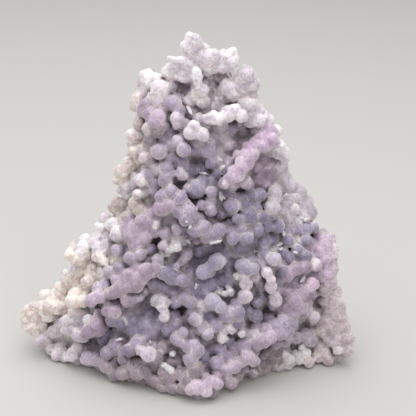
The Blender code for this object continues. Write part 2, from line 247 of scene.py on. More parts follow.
STRINGS = {
    # name: kind, how far it stands out further (mm), and each ball's pixel and radius (mm)
    "crown peak": ("white", 0.6, (
        (190, 38, 1.9), (195, 40, 2.2), (194, 47, 3.0), (187, 46, 2.2), (200, 45, 1.8))),
    "crown neck": ("white", 0.5, (
        (192, 56, 2.6), (200, 54, 2.4), (207, 62, 3.6), (214, 57, 2.6), (188, 64, 2.8),
        (207, 70, 2.2))),
    "crown right": ("white", 0.4, ((224, 56, 2.6), (232, 52, 1.9), (231, 60, 3.0), (222, 65, 2.8))),
    "crown left": ("white", 0.3, ((178, 67, 2.6), (171, 72, 3.2), (184, 74, 3.0), (192, 76, 2.0))),
    "hanging tooth": ("white", 2.6, ((197, 72, 1.7), (197, 77, 2.0), (197.5, 82, 1.7), (198, 87, 1.2))),
    "needle": ("white", 0.0, (
        (184, 61, 1.6), (180, 60.5, 1.3), (176, 59.5, 1.1), (172, 58.5, 0.9), (169, 58, 0.8))),
    "under crown": ("stone", -1.5, (
        (182, 88, 2.6), (190, 92, 2.8), (200, 98, 3.0), (209, 94, 2.6), (213, 84, 2.8),
        (221, 76, 2.8))),
    "right recess": ("white", 2.0, ((227, 88, 3.0), (223, 97, 3.0), (232, 95, 2.6), (212, 106, 2.2))),
    "left horn": ("white", 0.6, ((147, 77, 3.0), (156, 79, 2.2), (150, 84, 2.2))),
    "left brow": ("petal", 1.2, ((160, 89, 3.3), (153, 98, 2.4), (158, 101, 2.2), (146, 92, 2.6))),
    "left temple": ("cream", 0.3, ((141, 91, 2.7), (136, 105, 2.4), (138, 97, 2.4), (139, 120, 2.0))),
    "left jaw": ("mauve", 1.0, (
        (144, 109, 2.9), (151, 113, 3.2), (158, 117, 3.0), (155, 122, 2.6), (147, 104, 2.6),
        (162, 110, 2.5))),
    "brow knobs": ("lilac", 0.6, ((173, 103, 3.0), (166, 100, 2.4), (179, 111, 2.2))),
    "drop": ("rose", 2.2, ((177, 119, 2.6), (177, 125, 1.7))),
    "arc left": ("pearl", 1.6, ((191, 133, 2.6), (202, 134, 2.6), (194, 127, 2.4), (200, 119, 2.3))),
    "arc": ("pearl", 2.2, (
        (208, 119, 2.2), (213, 117, 2.5), (219, 119, 2.3), (228, 114, 2.9), (223, 117, 2.2),
        (235, 110, 2.3), (241, 116, 2.5))),
    "arc under": ("ash", -0.2, ((215, 132, 2.6), (230, 129, 2.8), (243, 131, 2.4), (222, 138, 2.2))),
    "right brow": ("petal", 0.6, ((246, 76, 3.6), (240, 84, 3.0), (253, 84, 2.6), (246, 69, 1.6))),
    "right cheek": ("linen", 0.2, ((243, 94, 2.8), (252, 94, 2.2))),
    "arc shoulder": ("pearl", 0.8, (
        (250, 103, 2.8), (257, 110, 2.9), (249, 112, 2.8), (243, 104, 2.4))),
    "arc end": ("white", 0.8, ((258, 119, 3.0), (268, 120, 2.4), (266, 127, 2.6), (250, 121, 2.4))),
    "pink ridge": ("pink", 2.0, (
        (270, 132, 2.9), (271, 139, 2.6), (263, 138, 3.1), (257, 144, 3.0), (250, 149, 2.9),
        (264, 146, 2.6), (246, 156, 2.8), (253, 155, 2.2), (246, 163, 2.9), (241, 168, 2.6),
        (236, 174, 3.2), (230, 179, 2.3))),
    "pink ridge knob": ("rose", 2.2, ((238, 155, 1.9), (240, 161, 1.9), (225, 185, 1.6))),
    "ridge head": ("white", 0.4, ((279, 146, 2.2), (283, 152, 2.4), (285, 158, 1.8), (278, 153, 2.2))),
    "shoulder recess": ("heather", -1.2, (
        (262, 160, 2.4), (270, 165, 2.8), (276, 172, 3.0), (261, 172, 2.6), (268, 180, 2.6),
        (254, 182, 2.4))),
    "shoulder": ("pale", 0.0, (
        (282, 168, 2.6), (284, 178, 3.0), (291, 186, 3.0), (299, 193, 3.0), (306, 203, 3.0),
        (310, 213, 2.8), (295, 199, 2.8), (300, 208, 2.8))),
    "right peanut": ("pale", 1.2, ((275, 193, 2.5), (272, 207, 2.8), (274, 200, 2.3))),
    "right face": ("pale", 0.8, (
        (286, 203, 2.9), (288, 216, 2.9), (303, 219, 2.2), (294, 210, 2.4), (296, 222, 2.0))),
    "face knobs": ("grey", 0.8, (
        (232, 206, 2.8), (249, 216, 3.3), (238, 219, 2.0), (244, 205, 2.2), (256, 208, 2.2),
        (262, 217, 2.3), (260, 195, 2.5), (250, 195, 2.4), (266, 226, 2.4), (230, 232, 2.4),
        (257, 230, 2.4))),
    "left collar": ("lilac", 1.2, (
        (171, 132, 2.7), (165, 139, 2.3), (159, 152, 2.8), (172, 144, 2.7), (184, 150, 2.6),
        (172, 157, 2.1), (178, 141, 2.2))),
    "inner cheek": ("stone", 0.2, ((150, 140, 2.6), (157, 131, 2.6), (151, 161, 2.5), (163, 127, 2.2))),
    "cheek edge": ("linen", 0.2, ((149, 128, 2.6), (143, 150, 2.4), (140, 134, 2.2), (145, 158, 2.2))),
    "upper spur": ("linen", 0.6, ((133, 136, 2.8), (131, 144, 1.6))),
    "cheek spur": ("cream", 0.7, (
        (139, 158, 2.8), (130, 164, 2.9), (121, 172, 2.9), (118, 180, 2.0), (133, 152, 2.2))),
    "lower spur": ("pearl", 0.8, (
        (141, 180, 2.5), (134, 186, 3.0), (127, 187, 2.2), (121, 189, 1.8), (127, 194, 2.0),
        (146, 174, 2.3))),
    "shelf": ("sand", 0.8, (
        (117, 203, 2.5), (112, 208, 1.8), (126, 205, 2.6), (135, 203, 2.4), (140, 210, 2.4),
        (126, 217, 2.2))),
    "middle bunch": ("lilac", 1.4, (
        (166, 168, 2.6), (158, 183, 3.2), (151, 175, 2.6), (165, 180, 2.6), (155, 190, 2.4),
        (171, 174, 2.0))),
    "inner face": ("grey", 0.3, (
        (208, 150, 2.7), (214, 141, 2.3), (197, 148, 2.3), (181, 163, 2.8), (202, 170, 3.0),
        (192, 171, 2.4), (212, 163, 2.4), (218, 174, 2.2), (226, 170, 2.0), (212, 181, 2.6),
        (196, 189, 3.4), (203, 182, 2.4))),
    "pale drops": ("ash", 1.2, ((182, 176, 1.9), (181, 171, 1.6), (187, 187, 1.5), (188, 192, 1.3))),
    "side string": ("dusk", 1.0, (
        (212, 192, 2.1), (211, 201, 2.1), (211, 210, 2.2), (202, 205, 1.9), (220, 214, 2.2))),
    "spine": ("dusk", 1.8, (
        (163, 196, 2.8), (172, 192, 2.6), (179, 198, 2.9), (184, 206, 2.7), (189, 212, 3.0),
        (179, 212, 2.4), (196, 221, 3.2), (186, 220, 2.4), (204, 228, 3.0), (212, 234, 3.2),
        (219, 230, 2.6), (206, 237, 2.4), (224, 226, 1.6), (195, 231, 2.6))),
    "spine root": ("mauve", 1.4, (
        (162, 208, 3.1), (152, 213, 2.9), (170, 205, 2.7), (156, 220, 2.3), (149, 222, 2.5))),
    "arm": ("mauve", 1.2, (
        (140, 230, 3.2), (132, 238, 3.0), (144, 238, 2.8), (136, 246, 2.8), (128, 228, 2.8),
        (130, 220, 2.4), (142, 221, 2.6))),
    "arm knobs": ("lilac", 1.0, (
        (155, 232, 2.2), (166, 233, 2.5), (177, 229, 2.0), (186, 234, 2.2), (150, 249, 2.2),
        (164, 246, 2.1), (131, 258, 2.6), (140, 254, 2.4), (117, 250, 2.2))),
    "arm end": ("white", 0.7, ((104, 219, 2.3), (100, 227, 1.9), (110, 226, 2.0), (113, 223, 2.2))),
    "arm shelf": ("white", 0.6, (
        (118, 234, 3.1), (107, 238, 3.0), (97, 236, 2.2), (96, 243, 2.8), (86, 238, 2.0),
        (107, 247, 2.6), (84, 247, 2.7))),
    "arm tip": ("cream", 0.4, (
        (77, 246, 2.8), (70, 255, 2.3), (76, 260, 2.3), (88, 255, 2.4), (88, 264, 2.5), (98, 256, 2.4),
        (105, 262, 1.6))),
    "crusty ledge": ("white", 1.6, (
        (163, 253, 1.4), (168, 251, 1.3), (173, 249, 1.4), (178, 247, 1.5))),
    "ledge knobs": ("ash", 0.8, (
        (158, 260, 2.2), (187, 254, 2.2), (181, 262, 1.5), (177, 266, 1.3), (184, 259, 1.6))),
    "heel ridge": ("heather", 2.2, (
        (148, 271, 3.1), (155, 268, 2.0), (141, 277, 2.8), (136, 284, 3.1), (128, 284, 2.6),
        (121, 288, 3.0), (114, 292, 2.5), (107, 295, 2.9), (139, 269, 2.8), (131, 274, 2.7),
        (124, 281, 2.5))),
    "heel ridge end": ("mauve", 1.8, (
        (99, 297, 2.6), (92, 300, 2.6), (127, 277, 2.6), (118, 280, 2.6))),
    "heel knobs": ("ash", 1.0, (
        (135, 298, 1.9), (140, 297, 1.8), (106, 284, 2.4), (110, 272, 2.6), (120, 268, 2.6),
        (98, 288, 2.3))),
    "wing ridge": ("cream", 1.4, (
        (82, 301, 2.6), (72, 302, 2.6), (64, 306, 2.5), (56, 308, 2.6), (49, 305, 2.6), (41, 307, 2.7),
        (34, 308, 2.6), (28, 311, 2.6), (23, 317, 2.2), (24, 323, 2.2))),
    "wing back": ("cream", 0.0, (
        (73, 278, 2.3), (67, 282, 2.4), (60, 286, 2.0), (63, 293, 2.5), (54, 296, 2.4), (78, 288, 2.8),
        (88, 282, 2.8), (86, 292, 2.5), (95, 276, 2.6), (74, 294, 2.4), (80, 271, 2.4),
        (92, 269, 2.4))),
    "wing face": ("cream", 0.4, (
        (30, 328, 2.4), (38, 320, 2.6), (48, 316, 2.6), (36, 333, 2.2), (43, 326, 2.4), (31, 319, 2.6),
        (33, 325, 2.4))),
    "wing knobs": ("petal", 1.2, ((46, 337, 2.9), (53, 332, 2.4), (39, 341, 2.0))),
    "wing root": ("pearl", 0.8, (
        (83, 314, 2.5), (88, 320, 2.0), (67, 329, 2.5), (66, 321, 2.2), (75, 322, 2.4),
        (60, 324, 2.4))),
    "lower ridge": ("heather", 2.2, (
        (127, 300, 2.6), (118, 303, 2.8), (109, 310, 2.8), (101, 316, 2.9), (96, 323, 2.9),
        (89, 331, 2.7), (107, 321, 2.5), (115, 312, 2.5), (99, 330, 2.4))),
    "lower ridge end": ("rose", 2.2, ((78, 335, 2.7), (72, 331, 2.0), (84, 337, 2.2))),
    "left corner": ("petal", 1.0, ((60, 347, 2.9), (58, 356, 2.8), (65, 362, 2.2), (52, 350, 2.2))),
    "left sill": ("white", 1.6, ((73, 354, 2.8), (77, 348, 2.2), (68, 357, 1.8))),
    "left sill end": ("lilac", 1.0, (
        (80, 357, 2.6), (88, 358, 2.9), (95, 359, 2.5), (103, 362, 2.5), (85, 350, 2.3))),
    "low hollow": ("grey", -0.5, (
        (112, 320, 2.5), (120, 322, 2.5), (130, 318, 2.6), (128, 327, 2.5), (137, 332, 2.7),
        (144, 338, 2.5), (146, 324, 2.5), (138, 322, 2.5), (151, 314, 2.5), (153, 333, 2.5),
        (160, 327, 2.4), (108, 332, 2.3), (84, 342, 2.2), (103, 340, 2.2))),
    "low blue": ("dusk", 1.4, (
        (115, 347, 3.2), (122, 351, 2.6), (107, 353, 2.4), (138, 343, 2.8), (129, 350, 2.4))),
    "low pink": ("rose", 2.0, ((148, 354, 2.9), (141, 351, 2.1))),
    "low front": ("stone", 1.0, (
        (106, 367, 2.5), (115, 374, 2.7), (123, 373, 2.8), (137, 373, 2.8), (130, 366, 2.4),
        (146, 370, 2.5), (116, 363, 2.4), (124, 360, 2.3), (139, 362, 2.4), (155, 380, 1.9),
        (149, 377, 1.8))),
    "low middle": ("stone", 0.6, (
        (164, 347, 2.6), (173, 352, 2.0), (157, 357, 2.5), (178, 362, 2.6), (170, 363, 2.2),
        (170, 377, 2.7), (173, 386, 2.8), (181, 374, 2.5), (195, 369, 3.2), (187, 380, 2.5),
        (163, 372, 2.0), (183, 388, 2.3))),
    "inner blue": ("dusk", 1.4, ((178, 339, 2.7), (187, 346, 2.4), (183, 332, 2.0))),
    "inner pink": ("lilac", 1.8, ((197, 351, 2.8), (191, 359, 2.8), (194, 344, 2.0))),
    "white knob": ("pale", 2.4, (
        (157, 301, 2.4), (163, 302, 2.5), (162, 308, 2.0), (164, 317, 1.9), (165, 312, 1.6))),
    "centre left": ("grey", 0.4, (
        (164, 286, 2.5), (154, 283, 2.5), (173, 293, 2.5), (176, 302, 2.4), (171, 278, 2.4),
        (163, 273, 2.4), (172, 270, 2.2), (147, 292, 2.4), (152, 301, 2.0), (182, 280, 2.4),
        (190, 273, 2.3), (174, 316, 2.4), (176, 326, 2.3), (168, 330, 2.3))),
    "centre hollow": ("grey", -1.2, (
        (186, 289, 2.5), (195, 286, 2.0), (203, 284, 2.6), (212, 284, 2.6), (221, 280, 2.6),
        (229, 275, 2.4), (199, 294, 2.3), (207, 293, 2.2), (230, 284, 2.2), (205, 259, 2.6),
        (197, 264, 2.4), (212, 250, 2.4), (229, 264, 2.4), (200, 250, 2.6))),
    "peanut": ("blue", 2.4, ((203, 272, 2.7), (210, 267, 2.4), (217, 261, 3.1))),
    "dark side knob": ("grey", 0.2, (
        (241, 246, 3.2), (233, 238, 2.3), (246, 238, 2.6), (251, 261, 2.2), (263, 244, 2.8),
        (264, 254, 2.4), (272, 240, 2.4))),
    "trio": ("blue", 2.0, ((243, 266, 2.8), (254, 269, 2.1), (248, 269, 2.2))),
    "trio tail": ("rose", 2.0, ((246, 284, 2.5), (245, 296, 2.7), (245, 277, 2.0))),
    "little white": ("white", 4.4, ((237, 276, 1.5), (230, 292, 1.6), (224, 294, 1.2))),
    "white buttons": ("white", 2.6, (
        (222, 338, 2.1), (232, 328, 2.0), (242, 334, 1.6), (173, 354, 1.2), (156, 224, 1.5))),
    "pale bar": ("white", 2.4, ((164, 366, 1.2), (168, 368, 1.1), (171, 370, 1.3))),
    "bright ball": ("mist", 2.4, ((274, 259, 2.8),)),
    "bright tail": ("rose", 2.0, (
        (267, 273, 2.2), (271, 287, 2.4), (276, 300, 2.4), (271, 280, 1.7), (274, 296, 1.9))),
    "tail side": ("grey", 0.8, (
        (279, 280, 2.3), (261, 287, 2.1), (284, 272, 2.6), (262, 297, 2.0), (236, 304, 2.2),
        (257, 302, 2.0))),
    "swollen ball": ("blue", 1.6, ((213, 302, 3.2), (220, 307, 2.4))),
    "middle string": ("ash", 1.2, (
        (190, 302, 2.4), (191, 312, 2.0), (195, 320, 2.6), (201, 328, 2.8), (207, 334, 2.4),
        (186, 320, 2.2))),
    "middle bank": ("grey", 0.4, (
        (227, 314, 3.2), (238, 313, 2.6), (211, 318, 2.6), (218, 325, 2.4), (248, 312, 2.6),
        (238, 322, 2.3), (213, 328, 2.0), (256, 316, 2.5), (211, 350, 2.3), (219, 349, 2.4),
        (229, 341, 2.2), (203, 358, 2.2))),
    "right knobs": ("grey", 0.8, (
        (298, 250, 2.2), (287, 232, 2.4), (296, 230, 2.2), (278, 226, 2.4), (289, 241, 2.4),
        (306, 241, 2.4), (290, 258, 2.4), (306, 256, 2.4), (283, 252, 2.0), (306, 230, 2.4),
        (313, 228, 2.2))),
    "right bank": ("heather", 0.8, (
        (297, 268, 2.6), (287, 274, 2.8), (306, 267, 2.4), (293, 288, 3.2), (294, 301, 3.2),
        (285, 309, 3.1), (303, 292, 2.6), (301, 308, 2.6), (311, 294, 2.2), (285, 289, 2.6),
        (276, 311, 2.6), (293, 315, 2.2))),
    "right rose": ("pink", 1.0, (
        (319, 240, 2.8), (325, 247, 2.9), (318, 252, 2.8), (324, 261, 3.1), (316, 265, 2.8),
        (320, 274, 3.0), (312, 284, 2.6), (327, 274, 2.6), (313, 276, 2.2))),
    "right rim": ("blush", 0.4, (
        (322, 235, 2.6), (330, 238, 2.3), (333, 249, 2.2), (332, 259, 2.2), (333, 268, 2.2),
        (330, 282, 2.9), (336, 292, 2.5), (334, 301, 2.8), (340, 308, 2.6), (341, 318, 2.8),
        (345, 328, 2.6), (348, 338, 2.7), (347, 349, 2.9), (340, 356, 2.3))),
    "right flank": ("blush", 0.8, (
        (324, 290, 2.6), (325, 300, 2.6), (330, 310, 2.8), (326, 320, 3.0), (334, 327, 2.9),
        (322, 330, 2.6), (338, 338, 2.4), (329, 338, 2.3))),
    "lone lilac": ("rose", 2.0, ((314, 317, 2.4),)),
    "lone white": ("white", 2.0, ((335, 343, 2.2), (338, 350, 1.7))),
    "right sill": ("ash", 1.2, ((304, 335, 2.9), (296, 338, 2.4), (311, 341, 2.4), (287, 334, 2.4))),
    "right foot": ("blush", 0.9, (
        (319, 348, 2.8), (317, 358, 2.6), (325, 353, 2.2), (328, 360, 2.3), (309, 362, 2.2))),
    "white foot": ("white", 2.0, (
        (289, 359, 2.2), (285, 355, 1.6), (296, 354, 1.9), (302, 347, 1.4), (306, 353, 2.2),
        (299, 360, 1.8))),
    "sill root": ("lilac", 1.8, (
        (291, 322, 2.6), (283, 320, 2.5), (268, 320, 2.6), (277, 325, 2.6), (288, 330, 2.4),
        (280, 334, 2.5))),
    "pink sill": ("mauve", 2.4, (
        (285, 341, 2.4), (277, 341, 2.6), (270, 337, 2.7), (263, 341, 2.8), (266, 330, 2.6),
        (258, 344, 2.5), (285, 349, 2.1))),
    "sill white": ("pale", 2.6, ((255, 334, 2.0), (254, 340, 1.7))),
    "sill middle": ("dusk", 2.2, (
        (244, 346, 3.2), (236, 351, 2.6), (228, 358, 2.6), (217, 363, 2.6), (222, 355, 2.2))),
    "sill front": ("mauve", 2.6, (
        (247, 357, 2.8), (254, 361, 2.2), (240, 362, 2.4), (234, 367, 2.7), (243, 368, 2.1),
        (226, 370, 2.6), (218, 374, 2.6), (227, 378, 2.2), (212, 382, 2.4), (218, 384, 2.1),
        (205, 386, 2.2), (197, 388, 2.9), (206, 392, 2.2), (191, 391, 2.0), (205, 377, 2.0))),
    "sill under": ("umber", -0.4, (
        (270, 360, 2.6), (263, 365, 2.2), (278, 360, 2.4), (262, 354, 2.2), (270, 351, 2.4),
        (277, 352, 2.2), (212, 393, 2.2), (238, 376, 2.0))),
}

HANG_FREE = ("hanging tooth", "needle")
# How far each string ball's axis is turned towards the camera, so that the painted rim highlights and
# darker painted centres laid about it face the camera.
TOWARDS_EYE = 1.2
STRING_SEED = 4
SHADE_SPREAD = 0.08
LOWEST_LIFT = (0.9, 1.1)
STUB_GAP = 0.6
STUB_SIZE = 0.8
# Strings whose balls have grown together into a smooth ridge or bank, group by group.
MERGED = (
    ("crown peak", "crown neck", "crown right", "crown left"), ("left brow",), ("peanut",),
    ("right brow", "right cheek"), ("arc end", "arc shoulder"), ("pink ridge", "ridge head"),
    ("shoulder recess",), ("right recess",), ("swollen ball",),
    ("shoulder", "right face"), ("spine root", "arm"), ("arm shelf", "arm tip"), ("heel ridge",),
    ("wing ridge", "wing back", "wing face"), ("lower ridge",), ("left corner",), ("left sill end",),
    ("shelf",), ("right rose", "right rim", "right flank"), ("right bank",), ("sill root",),
    ("low hollow",), ("centre hollow", "centre left"), ("cheek spur",), ("lower spur",),
)
MERGE_REACH = 1.12
MERGE_SIZE = 0.86


def waists(own):
    """A ball between every two neighbours of a family, so that only shallow waists are left."""
    made = []
    for first, second in itertools.combinations(own, 2):
        together = first[1] + second[1]
        if (first[0] - second[0]).length < MERGE_REACH * together:
            between = first[0].lerp(second[0], 0.5)
            axis = (first[3] + second[3]).normalized()
            made.append((between, together / 2 * MERGE_SIZE, first[2], axis, first[4]))
    return made


def laid_balls():
    """Centre, radius, kind, outward axis and family of every ball of the strings.

    A ball that would hang free gets a stub down to the body, with no axis of its own. Single balls
    are all of family 0.
    """
    chance = random.Random(STRING_SEED)
    balls = []
    grouped = {name: number for number, group in enumerate(MERGED, start=1) for name in group}
    relations = {number: [] for number in grouped.values()}
    for name, (kind, proud, spots) in STRINGS.items():
        family = grouped.get(name, 0)
        own = []
        for px, py, radius in spots:
            line = sight(px, py)
            radius *= MM
            centre = met(solid_tree, line) + line * (radius - (STAND_OUT + proud) * MM)
            if name in HANG_FREE and own:
                centre = eye + line * (own[0][0] - eye).length
            centre.z = max(centre.z, radius * chance.uniform(*LOWEST_LIFT))
            shade = np.array(KINDS[kind]) + chance.uniform(-SHADE_SPREAD, SHADE_SPREAD)
            root, normal, _, gap = body_tree.find_nearest(centre)
            # The axis, partly turned towards the camera, is what the painted rim and centre are laid
            # about.
            own.append((centre, radius, shade, (normal + away * TOWARDS_EYE).normalized(), family))
            if gap > radius * STUB_GAP and name not in HANG_FREE:
                for foot in (centre.lerp(root, 0.5), root):
                    balls.append((foot, radius * STUB_SIZE, shade, Vector(), family))
        balls.extend(own)
        if family:
            relations[family].extend(own)
    for own in relations.values():
        balls.extend(waists(own))
    return balls


BACK_KINDS = ("rose", "mauve", "lilac", "pale", "grey", "heather", "lilac", "dusk", "linen", "ash")
BACK_RIDGES = 60
BACK_STEP = 3.3 * MM
BACK_FAMILY = 100
BACK_SEED = 12
BACK_COUNT = (3, 9)
BACK_WANDER = 0.8
SIDE_LIMIT = 0.35
# Where the ridges of the back start, how far they stand out and their radii, in millimetres.
BACK_SPAN = (-60, 60)
BACK_HEIGHTS = (3, 124)
BACK_BEHIND = 60
BACK_PROUD = (0.2, 1.6)
BACK_RADIUS = (2.1, 3.0)


def back_balls():
    """Strings of balls for the back, wandering over it from starts spread at random."""
    chance = random.Random(BACK_SEED)
    balls = []
    for number in range(BACK_RIDGES):
        start = Vector((chance.uniform(*BACK_SPAN), BACK_BEHIND, chance.uniform(*BACK_HEIGHTS))) * MM
        spot = solid_tree.ray_cast(start, Vector((0, -1, 0)))[0]
        heading = Vector((chance.uniform(-1, 1), 0, chance.uniform(-1, 1)))
        kind = np.array(KINDS[chance.choice(BACK_KINDS)])
        proud = chance.uniform(*BACK_PROUD)
        own = []
        for _ in range(chance.randint(*BACK_COUNT) if spot else 0):
            spot, normal = solid_tree.find_nearest(spot)[:2]
            if normal.y < SIDE_LIMIT:
                break
            radius = chance.uniform(*BACK_RADIUS) * MM
            centre = spot - normal * (radius - (STAND_OUT + proud) * MM)
            centre.z = max(centre.z, radius)
            shade = kind + chance.uniform(-SHADE_SPREAD, SHADE_SPREAD)
            own.append((centre, radius, shade, normal, BACK_FAMILY + number if number % 2 else 0))
            heading += Vector([chance.uniform(-BACK_WANDER, BACK_WANDER) for _ in range(3)])
            heading = (heading - normal * heading.dot(normal)).normalized()
            spot = spot + heading * BACK_STEP
        balls.extend(own + (waists(own) if number % 2 else []))
    return balls


def tree_with(name, **inputs):
    """An empty tree of Geometry Nodes that takes the named inputs and gives balls."""
    tree = bpy.data.node_groups.new(name, "GeometryNodeTree")
    for label, kind in inputs.items():
        tree.interface.new_socket(label, in_out="INPUT", socket_type="NodeSocket" + kind)
    tree.interface.new_socket("Balls", in_out="OUTPUT", socket_type="NodeSocketGeometry")
    return tree


def stored(tree, name):
    """The number that every point carries under a name."""
    read = tree.nodes.new("GeometryNodeInputNamedAttribute")
    read.data_type = "FLOAT"
    read.inputs["Name"].default_value = name
    return read.outputs["Attribute"]


def ball_at_each_point():
    """Geometry Nodes that stand one ball on every point, of the size that the point carries."""
    tree = tree_with("ball at each point", Points="Geometry", Roundness="Int", Material="Material")
    node, wire = tree.nodes.new, tree.links.new
    given = node("NodeGroupInput")
    ball = node("GeometryNodeMeshIcoSphere")
    ball.inputs["Radius"].default_value = 1.0
    wire(given.outputs["Roundness"], ball.inputs["Subdivisions"])
    stand = node("GeometryNodeInstanceOnPoints")
    wire(given.outputs["Points"], stand.inputs["Points"])
    wire(ball.outputs["Mesh"], stand.inputs["Instance"])
    wire(stored(tree, "radius"), stand.inputs["Scale"])
    real = node("GeometryNodeRealizeInstances")
    wire(stand.outputs["Instances"], real.inputs["Geometry"])
    finish = node("GeometryNodeSetMaterial")
    wire(real.outputs["Geometry"], finish.inputs["Geometry"])
    wire(given.outputs["Material"], finish.inputs["Material"])
    wire(finish.outputs["Geometry"], node("NodeGroupOutput").inputs["Balls"])
    return tree


def with_inputs(obj, tree, **values):
    """Puts the tree on the object as a modifier, each input set by its socket's identifier."""
    nodes = obj.modifiers.new(tree.name, "NODES")
    nodes.node_group = tree
    for item in tree.interface.items_tree:
        if item.in_out == "INPUT" and item.name in values:
            nodes[item.identifier] = values[item.name]
    return obj


def keep(data, name, values):
    """Stores one number for every point of a mesh."""
    layer = data.attributes.get(name) or data.attributes.new(name, "FLOAT", "POINT")
    layer.data.foreach_set("value", np.asarray(values, dtype=np.float32))


body_tree = tree_of(body)
string_balls = laid_balls() + back_balls()
ball_tree = ball_at_each_point()
marks = bpy.data.meshes.new("laid balls")
marks.from_pydata([ball[0] for ball in string_balls], [], [])
keep(marks, "radius", [ball[1] for ball in string_balls])
laid = baked(with_inputs(link("laid balls", marks), ball_tree, Roundness=ROUNDNESS))
string_centres, string_radii, string_kinds, string_axes = (
    np.array([ball[part] for ball in string_balls]) for part in range(4))
families = [ball[4] for ball in string_balls]

# The balls between the strings, over what is left bare in front, behind and at the sides: chalcedony
# spheres 2.5 to 5.5 mm across. Each generation grows on the one before, and leaves the strings and
# the dark holes open.
GENERATIONS = (
    # name, least gap, smallest and largest radius (mm), rise in radii, patchiness, seed
    ("first", 3.9, 2.0, 2.8, 0.15, 0.0, 3),
    ("second", 4.8, 1.8, 2.7, 0.45, 0.42, 8),
    ("third", 5.2, 1.2, 2.0, 0.35, 0.52, 21),
)
PATCH_SCALE = 90.0
PATCH_FULL = 0.6
DENSEST = 400000.0
GROWTH_GRID = 0.6 * MM
CLEARANCE = {"first": 0.3 * MM, "second": 1.6 * MM, "third": 1.2 * MM}
LIFT_OFF_FLOOR = 0.95
BALL_POINTS = 162  # what one ball of that roundness has
SLACK = 0.4 * MM
HOLE_MARGIN = 1.0  # millimetres
HOLE_DEPTHS = 3
BARE_FOOT = 0.8 * MM


def scatter_tree():
    """Geometry Nodes that spread points of random size over a surface and stand a ball on each."""
    tree = tree_with(
        "balls on a surface", Surface="Geometry", Gap="Float", Smallest="Float", Largest="Float",
        Rise="Float", Patchiness="Float", Seed="Int", Roundness="Int", Material="Material",
    )
    node, wire = tree.nodes.new, tree.links.new
    given = node("NodeGroupInput")

    def worked(operation, first, second):
        """A sum of a wired value and another value or a plain number."""
        step = node("ShaderNodeMath")
        step.operation = operation
        wire(first, step.inputs[0])
        if isinstance(second, float):
            step.inputs[1].default_value = second
        else:
            wire(second, step.inputs[1])
        return step.outputs["Value"]

    patch = node("ShaderNodeTexNoise")
    patch.inputs["Scale"].default_value = PATCH_SCALE
    ready = node("ShaderNodeMapRange")
    ready.inputs["From Max"].default_value = PATCH_FULL
    wire(given.outputs["Patchiness"], ready.inputs["From Min"])
    wire(patch.outputs["Fac"], ready.inputs["Value"])
    chance = worked("MULTIPLY", ready.outputs["Result"], stored(tree, "room"))
    scatter = node("GeometryNodeDistributePointsOnFaces")
    scatter.distribute_method = "POISSON"
    scatter.inputs["Density Max"].default_value = DENSEST
    wire(given.outputs["Surface"], scatter.inputs["Mesh"])
    wire(given.outputs["Gap"], scatter.inputs["Distance Min"])
    wire(given.outputs["Seed"], scatter.inputs["Seed"])
    wire(chance, scatter.inputs["Density Factor"])
    size = node("FunctionNodeRandomValue")
    wire(given.outputs["Smallest"], size.inputs["Min"])
    wire(given.outputs["Largest"], size.inputs["Max"])
    wire(given.outputs["Seed"], size.inputs["Seed"])
    radius = size.outputs[1]
    keep_size = node("GeometryNodeStoreNamedAttribute")
    keep_size.inputs["Name"].default_value = "radius"
    wire(scatter.outputs["Points"], keep_size.inputs["Geometry"])
    wire(radius, keep_size.inputs["Value"])
    push = node("ShaderNodeVectorMath")
    push.operation = "SCALE"
    wire(scatter.outputs["Normal"], push.inputs["Vector"])
    wire(worked("MULTIPLY", radius, given.outputs["Rise"]), push.inputs["Scale"])
    lift = node("GeometryNodeSetPosition")
    wire(keep_size.outputs["Geometry"], lift.inputs["Geometry"])
    wire(push.outputs["Vector"], lift.inputs["Offset"])
    parts = node("ShaderNodeSeparateXYZ")
    wire(node("GeometryNodeInputPosition").outputs["Position"], parts.inputs["Vector"])
    least = worked("MULTIPLY", radius, LIFT_OFF_FLOOR)
    together = node("ShaderNodeCombineXYZ")
    wire(parts.outputs["X"], together.inputs["X"])
    wire(parts.outputs["Y"], together.inputs["Y"])
    wire(worked("MAXIMUM", parts.outputs["Z"], least), together.inputs["Z"])
    settle = node("GeometryNodeSetPosition")
    wire(lift.outputs["Geometry"], settle.inputs["Geometry"])
    wire(together.outputs["Vector"], settle.inputs["Position"])
    stand = node("GeometryNodeGroup")
    stand.node_tree = ball_tree
    wire(settle.outputs["Geometry"], stand.inputs["Points"])
    wire(given.outputs["Roundness"], stand.inputs["Roundness"])
    wire(given.outputs["Material"], stand.inputs["Material"])
    wire(stand.outputs["Balls"], node("NodeGroupOutput").inputs["Balls"])
    return tree


def joined(name, objects):
    """One new object holding copies of several meshes."""
    mesh = bmesh.new()
    for obj in objects:
        mesh.from_mesh(obj.data)
    data = bpy.data.meshes.new(name)
    mesh.to_mesh(data)
    mesh.free()
    return link(name, data)


def places(data):
    flat = np.empty(len(data.vertices) * 3)
    data.vertices.foreach_get("co", flat)
    return flat.reshape(-1, 3)


def free_room(data, clearance):
    """1 where a ball may grow: off the strings, out of the dark holes, above the foot."""
    spots = places(data)
    room = np.ones(len(spots))
    for centre, radius in zip(string_centres, string_radii):
        apart = np.linalg.norm(spots - centre, axis=1)
        room[apart < radius + clearance] = 0.0
    for px, py, radius, depth in HOLES:
        line = sight(px, py)
        offset = spots - np.array(met(solid_tree, line))
        depth_along = offset @ np.array(line)
        aside = np.linalg.norm(offset - np.outer(depth_along, line), axis=1)
        inside = depth_along < HOLE_DEPTHS * depth * MM
        room[(aside < (radius + HOLE_MARGIN) * MM) & inside] = 0.0
    room[spots[:, 2] < BARE_FOOT] = 0.0
    return room


